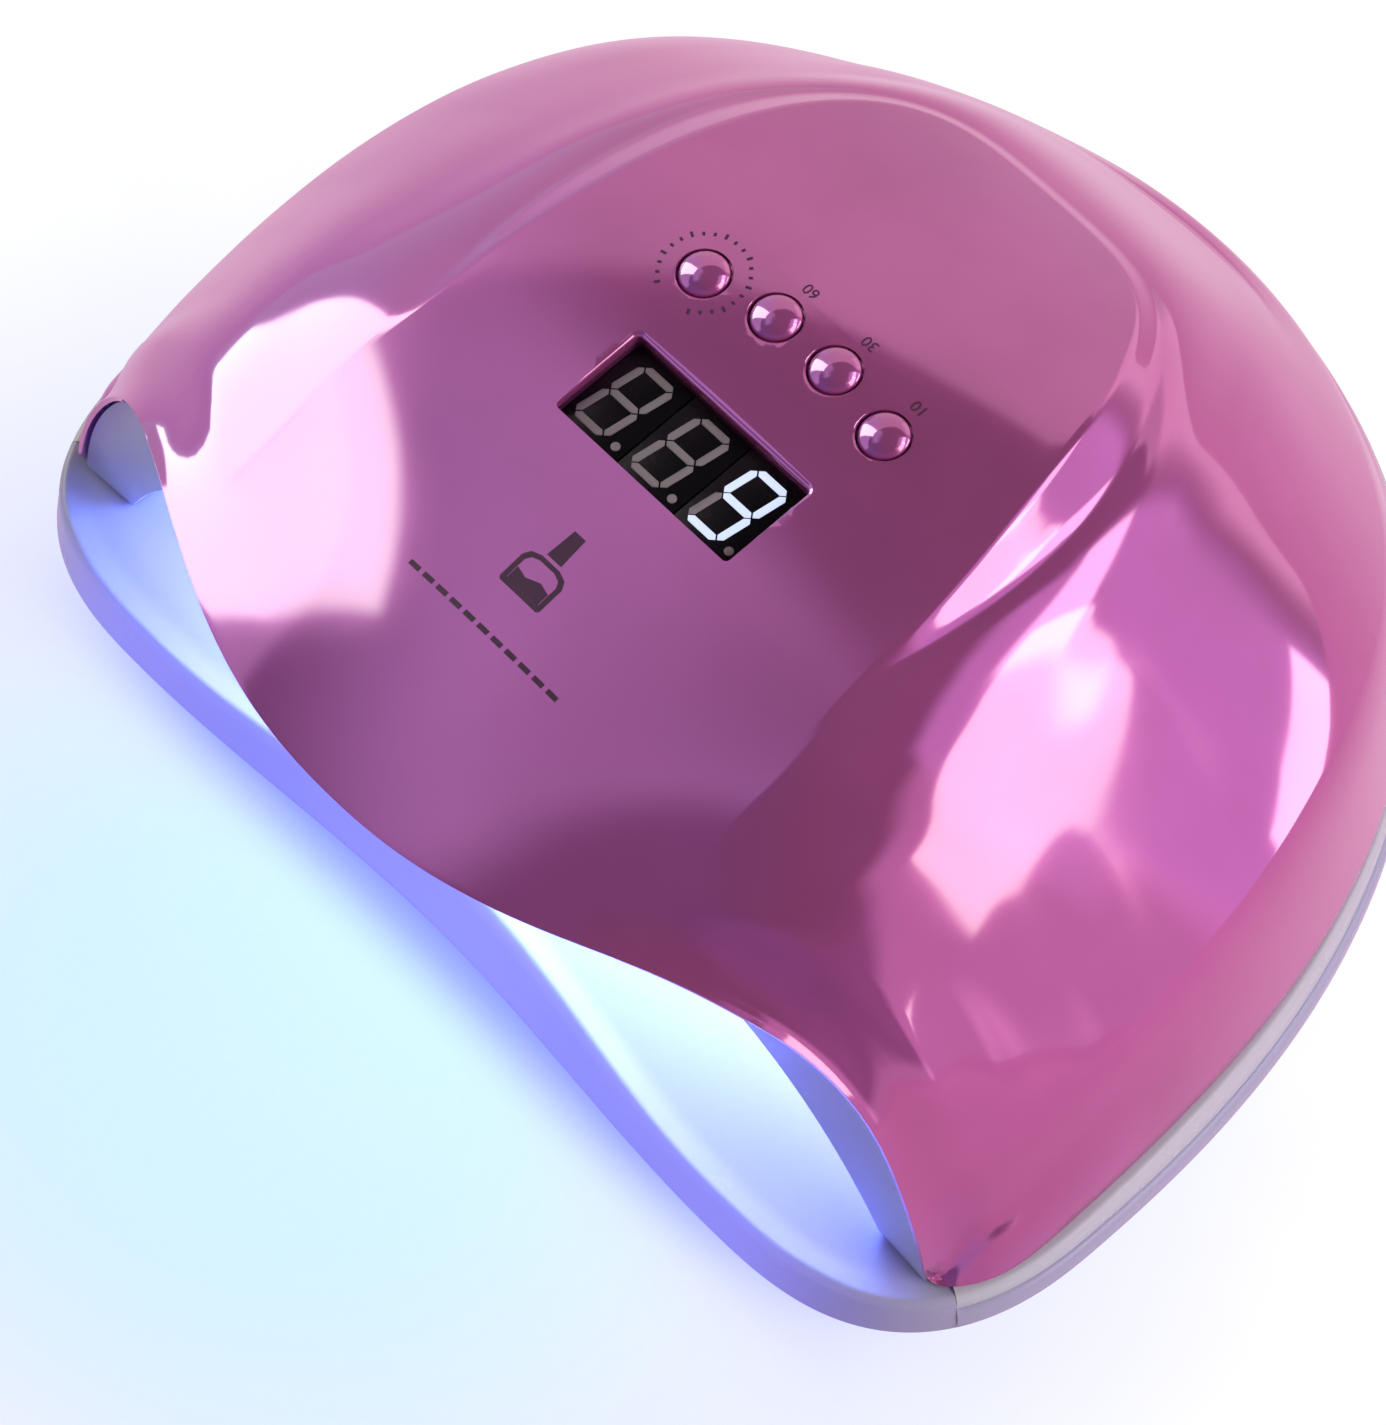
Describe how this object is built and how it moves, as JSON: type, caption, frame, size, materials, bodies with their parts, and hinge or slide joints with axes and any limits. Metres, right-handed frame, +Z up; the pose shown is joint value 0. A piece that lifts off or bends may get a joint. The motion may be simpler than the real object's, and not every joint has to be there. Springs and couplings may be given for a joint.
{
  "type": "uv led nail lamp",
  "caption": "Arched nail-curing lamp: glossy dome over a hand opening, raised top panel with digit display and round push buttons, light beads inside, removable magnetic base tray.",
  "frame": {"origin": "on the table plane under the base, below the middle of the lamp's bounding box, on the plane of symmetry", "axes": "+X to the right of a person facing the hand opening, -Y out of the opening, +Z up"},
  "size_m": [0.218, 0.1932, 0.0883],
  "materials": {
    "pearl_pink": "pearl pink, high gloss",
    "white_gloss": "white, gloss",
    "white_matte": "white reflector",
    "board_white": "white solder mask and clear beads",
    "board_green": "green solder mask",
    "chip_black": "black moulded",
    "digit_grey": "black face with grey segments",
    "window_clear": "clear gloss",
    "switch_steel": "pressed steel can",
    "nickel": "nickel plate",
    "steel_zinc": "zinc plate",
    "rubber_grey": "matte",
    "sensor_dark": "dark infrared window",
    "wire_black": "insulated pair",
    "wire_red": "insulated pair"
  },
  "bodies": {
    "tray": {"base_tray": "white_gloss", "foot_1": "rubber_grey", "foot_2": "rubber_grey", "foot_3": "rubber_grey", "foot_4": "rubber_grey", "keeper_1": "steel_zinc", "keeper_2": "steel_zinc", "keeper_3": "steel_zinc", "keeper_4": "steel_zinc"},
    "button_mode": {"button_cap_mode": "pearl_pink", "button_plunger_mode": "chip_black"},
    "button_60": {"button_cap_60": "pearl_pink", "button_plunger_60": "chip_black"},
    "button_30": {"button_cap_30": "pearl_pink", "button_plunger_30": "chip_black"},
    "button_10": {"button_cap_10": "pearl_pink", "button_plunger_10": "chip_black"},
    "lamp": {"body_frame": "white_gloss", "button_switch_10": "switch_steel", "button_switch_30": "switch_steel", "button_switch_60": "switch_steel", "button_switch_mode": "switch_steel", "control_board": "board_green", "control_chip": "chip_black", "dc_jack": "chip_black", "display_digit_centre": "digit_grey", "display_digit_left": "digit_grey", "display_digit_right": "digit_grey", "display_housing": "chip_black", "display_window": "window_clear", "ir_sensor": "sensor_dark", "led_board_left": "board_white", "led_board_rear_left": "board_white", "led_board_rear_right": "board_white", "led_board_right": "board_white", "led_board_roof": "board_white", "magnet_1": "nickel", "magnet_2": "nickel", "magnet_3": "nickel", "magnet_4": "nickel", "reflector_liner": "white_matte", "screw_1": "steel_zinc", "screw_2": "steel_zinc", "screw_3": "steel_zinc", "screw_4": "steel_zinc", "top_shell": "pearl_pink", "wire_led_left": "wire_red", "wire_led_right": "wire_red", "wire_power": "wire_black"}
  },
  "joints": [
    {"name": "lamp_lift", "type": "slide", "parent": "tray", "child": "lamp", "axis": [0, 0, 1], "range_m": [0, 0.06]},
    {"name": "press_mode", "type": "slide", "parent": "lamp", "child": "button_mode", "axis": [0, 0.0872, -0.9962], "range_m": [0, 0.0006], "stiffness_N_per_m": 1500, "springref_m": -0.0003},
    {"name": "press_60", "type": "slide", "parent": "lamp", "child": "button_60", "axis": [0, 0.0872, -0.9962], "range_m": [0, 0.0006], "stiffness_N_per_m": 1500, "springref_m": -0.0003},
    {"name": "press_30", "type": "slide", "parent": "lamp", "child": "button_30", "axis": [0, 0.0872, -0.9962], "range_m": [0, 0.0006], "stiffness_N_per_m": 1500, "springref_m": -0.0003},
    {"name": "press_10", "type": "slide", "parent": "lamp", "child": "button_10", "axis": [0, 0.0872, -0.9962], "range_m": [0, 0.0006], "stiffness_N_per_m": 1500, "springref_m": -0.0003}
  ]
}
